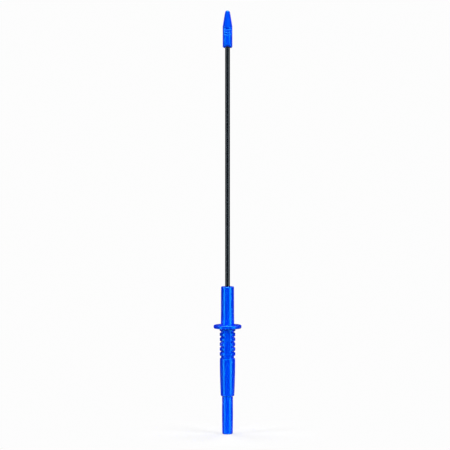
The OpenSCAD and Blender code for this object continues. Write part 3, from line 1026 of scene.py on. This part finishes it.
for node, body in (("claw_left", "left_claw"), ("claw_right", "right_claw")):
    claw = copy_of_solid(node)
    edges = claw.modifiers.new("edges", "BEVEL")
    edges.limit_method = "ANGLE"
    edges.angle_limit = math.radians(CLAW_CORNER_DEGREES)
    edges.width = CLAW_EDGE
    edges.segments = 2
    bpy.ops.object.modifier_apply(modifier=edges.name)
    ship(claw, body, "spring_steel", STEEL, node)

dress("claw_pin", STEEL)
dress("claw_carrier", BRASS)
dress("push_cable", STRAND)

# ---------------------------------------------------------------------------
# Plunger sleeve.
# A coloured moulding that insulates the plug socket and is the push button. A shoulder inside the
# tail stops it, and its rear edge is well rounded inside and outside.

plunger_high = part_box("plunger_sleeve")[1] / MM
STUB_R = 3.33
STUB_REAR_R = 3.22
STUB_TAPER_Z = 1.4
STUB_TAPER_LEN = 10
STUB_TAPER_RINGS = (0, 0.25, 0.5, 0.75, 1)
STUB_EDGE = 0.1
STUB_ROUND = 0.7
STUB_MOUTH_R = 2.2
STUB_MOUTH_EDGE = 0.25
STUB_END_Z = 22.9
STUB_RELIEF_R = 3.13
STOP_R = plunger_high.x
STOP_Z = 27.2
STOP_LEN = 1.4
STOP_EDGE = 0.12
SOCKET_ROOM_R = 2.63
SOCKET_ROOM_Z = 1.57

stub_taper = [
    (STUB_REAR_R + (STUB_R - STUB_REAR_R) * share, STUB_TAPER_Z + STUB_TAPER_LEN * share)
    for share in STUB_TAPER_RINGS
]
stub_outline = (
    [(STUB_MOUTH_R, SOCKET_ROOM_Z)]
    + arc(STUB_MOUTH_R + STUB_MOUTH_EDGE, STUB_MOUTH_EDGE, STUB_MOUTH_EDGE, 180, 270, 4)
    + arc(STUB_REAR_R - STUB_ROUND, STUB_ROUND, STUB_ROUND, -90, 0, 8)
    + stub_taper
    + [(STUB_R, STUB_END_Z - STUB_EDGE), (STUB_R - STUB_EDGE, STUB_END_Z)]
    + [(STUB_RELIEF_R, STUB_END_Z), (STUB_RELIEF_R, STOP_Z)]
    + [(STOP_R - STOP_EDGE, STOP_Z), (STOP_R, STOP_Z + STOP_EDGE)]
    + [(STOP_R, STOP_Z + STOP_LEN - STOP_EDGE), (STOP_R - STOP_EDGE, STOP_Z + STOP_LEN)]
    + [(STUB_RELIEF_R, STOP_Z + STOP_LEN), (STUB_RELIEF_R, plunger_high.z - STUB_EDGE)]
    + [(STUB_RELIEF_R - STUB_EDGE, plunger_high.z), (SOCKET_ROOM_R, plunger_high.z)]
    + [(SOCKET_ROOM_R, SOCKET_ROOM_Z)]
)
stub = turn_on_lathe("plunger_moulding", stub_outline)
raise_seam(stub, 1, STUB_END_Z - 1, STUB_REAR_R - 0.1)
ship(stub, "plunger", "blue_plastic", BLUE, "plunger_sleeve")

# ---------------------------------------------------------------------------
# Plug socket, cable crimp and spring cup.
# The socket is a bright turned brass tube with a countersunk mouth, pushed into the plunger sleeve.
# The cable's crimped end is soldered in the cup behind it, and a brass disc over that carries the
# spring.

socket_low, socket_high = (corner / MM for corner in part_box("plug_socket"))
SOCKET_SIDES = 72
SOCKET_R = 2.6
SOCKET_EDGE = 0.12
SINK_R = 0.3
SINK_STEP_R = 0.2
SINK_STEP_LEN = 0.08
SINK_LEN = 0.4
PLUG_BORE_R = 2
PLUG_BORE_END_Z = 24
DRILL_POINT_LEN = 0.9
DRILL_EDGE_R = 0.3
DRILL_EDGE_LEN = 0.1
SOCKET_SHOULDER_Z = 26
SOCKET_SHOULDER_EDGE = 0.2
CUP_R = 1.5
CUP_EDGE = 0.1
CUP_BORE_R = 1.02
CUP_BORE_Z = 27.55
CUP_POINT_LEN = 0.3

socket_outline = [
    (AXIS_R, PLUG_BORE_END_Z + DRILL_POINT_LEN),
    (PLUG_BORE_R - DRILL_EDGE_R, PLUG_BORE_END_Z),
    (PLUG_BORE_R, PLUG_BORE_END_Z - DRILL_EDGE_LEN),
    (PLUG_BORE_R, socket_low.z + SINK_LEN),
    (PLUG_BORE_R + SINK_STEP_R, socket_low.z + SINK_STEP_LEN),
    (PLUG_BORE_R + SINK_R, socket_low.z),
    (SOCKET_R - SOCKET_EDGE, socket_low.z),
    (SOCKET_R, socket_low.z + SOCKET_EDGE),
    (SOCKET_R, SOCKET_SHOULDER_Z - SOCKET_SHOULDER_EDGE),
    (SOCKET_R - SOCKET_SHOULDER_EDGE, SOCKET_SHOULDER_Z),
    (CUP_R, SOCKET_SHOULDER_Z),
    (CUP_R, socket_high.z - CUP_EDGE),
    (CUP_R - CUP_EDGE, socket_high.z),
    (CUP_BORE_R, socket_high.z),
    (CUP_BORE_R, CUP_BORE_Z),
    (AXIS_R, CUP_BORE_Z - CUP_POINT_LEN),
]
socket = turn_on_lathe("socket_turning", socket_outline, hollow=False, sides=SOCKET_SIDES)
ship(socket, "plunger", "turned_brass", BRASS, "plug_socket")
dress("cable_crimp", BRASS)
dress("spring_cup", BRASS)

# ---------------------------------------------------------------------------
# Return spring and washer.
# A compression spring in hard-drawn wire, with closed end turns. It pushes the plunger back from
# the washer that rests on the ferrule's flange.

spring_low, spring_high = (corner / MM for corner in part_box("return_spring"))
WIRE_R = 0.25
COIL_R = spring_high.x - WIRE_R
COIL_TURNS = 11
WIRE_SIDES = 10
STEPS_PER_TURN = 20
END_TURNS = 1.5
END_GAP = 0.04
END_PITCH = 2 * WIRE_R + END_GAP

coil_room = spring_high.z - spring_low.z - 2 * WIRE_R
open_pitch = (coil_room - 2 * END_TURNS * END_PITCH) / (COIL_TURNS - 2 * END_TURNS)

empty_hands()
wire_start = (COIL_R, 0, spring_low.z + WIRE_R)
bpy.ops.mesh.primitive_circle_add(
    vertices=WIRE_SIDES, radius=WIRE_R, location=wire_start, rotation=(math.radians(90), 0, 0)
)
spring = bpy.context.object
spring.name = "spring_wire"
bpy.ops.object.transform_apply(location=True, rotation=True, scale=True)
bpy.ops.object.mode_set(mode="EDIT")
bpy.ops.mesh.select_all(action="SELECT")
bpy.ops.mesh.edge_face_add()
turn_step = math.radians(360) / STEPS_PER_TURN
climbed = 0
for step in range(COIL_TURNS * STEPS_PER_TURN):
    turned = (step + 0.5) / STEPS_PER_TURN
    in_end = turned < END_TURNS or turned > COIL_TURNS - END_TURNS
    rise = (END_PITCH if in_end else open_pitch) / STEPS_PER_TURN
    climbed += rise
    bpy.ops.mesh.extrude_region_move(TRANSFORM_OT_translate={"value": (0, 0, rise)})
    bpy.ops.transform.rotate(
        value=turn_step, orient_axis="Z", center_override=(0, 0, spring_low.z + WIRE_R + climbed)
    )
face_outwards(spring)
ship(spring, "handle_body", "spring_steel", STEEL, "return_spring")
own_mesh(spring)
dress("spring_washer", STEEL)

# ---------------------------------------------------------------------------
# Tail.
# The rear body is a plain coloured sleeve that narrows gently to the rear. It is pushed on the
# grip's spigot up to the ribs, and its inner lip keeps the plunger in.

tail_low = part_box("tail")[0] / MM
TAIL_R = tail_high.x
TAIL_FALL = 0.001
TAIL_TOP_EDGE = 0.6
TAIL_REAR_EDGE = 0.5
TAIL_RINGS = 16
LIP_BORE_R = 3.38
LIP_EDGE = 0.2
LIP_TOP_Z = 27.1
CHAMBER_R = 3.73
SPIGOT_BORE_R = 4.03
SPIGOT_Z = 41.17

tail_wall_low = tail_low.z + TAIL_REAR_EDGE
tail_wall_high = tail_high.z - TAIL_TOP_EDGE
tail_rear_r = TAIL_R - TAIL_FALL * (tail_high.z - tail_wall_low) ** 2
tail_wall = [
    (TAIL_R - TAIL_FALL * (tail_high.z - z) ** 2, z)
    for z in steps_between(tail_wall_low, tail_wall_high, TAIL_RINGS)[1:]
]
tail_outline = (
    [(LIP_BORE_R, LIP_TOP_Z), (LIP_BORE_R, tail_low.z + LIP_EDGE)]
    + [(LIP_BORE_R + LIP_EDGE, tail_low.z)]
    + arc(tail_rear_r - TAIL_REAR_EDGE, tail_wall_low, TAIL_REAR_EDGE, -90, -4, 6)
    + tail_wall
    + arc(TAIL_R - TAIL_TOP_EDGE, tail_wall_high, TAIL_TOP_EDGE, 0, 90, 6)
    + [(SPIGOT_BORE_R, tail_high.z), (SPIGOT_BORE_R, SPIGOT_Z)]
    + [(CHAMBER_R, SPIGOT_Z), (CHAMBER_R, LIP_TOP_Z)]
)
tail = turn_on_lathe("tail_moulding", tail_outline)
raise_seam(tail, tail_wall_low + 0.2, tail_wall_high - 0.2, CHAMBER_R + 0.2)
ship(tail, "handle_body", "blue_plastic", BLUE, "tail")
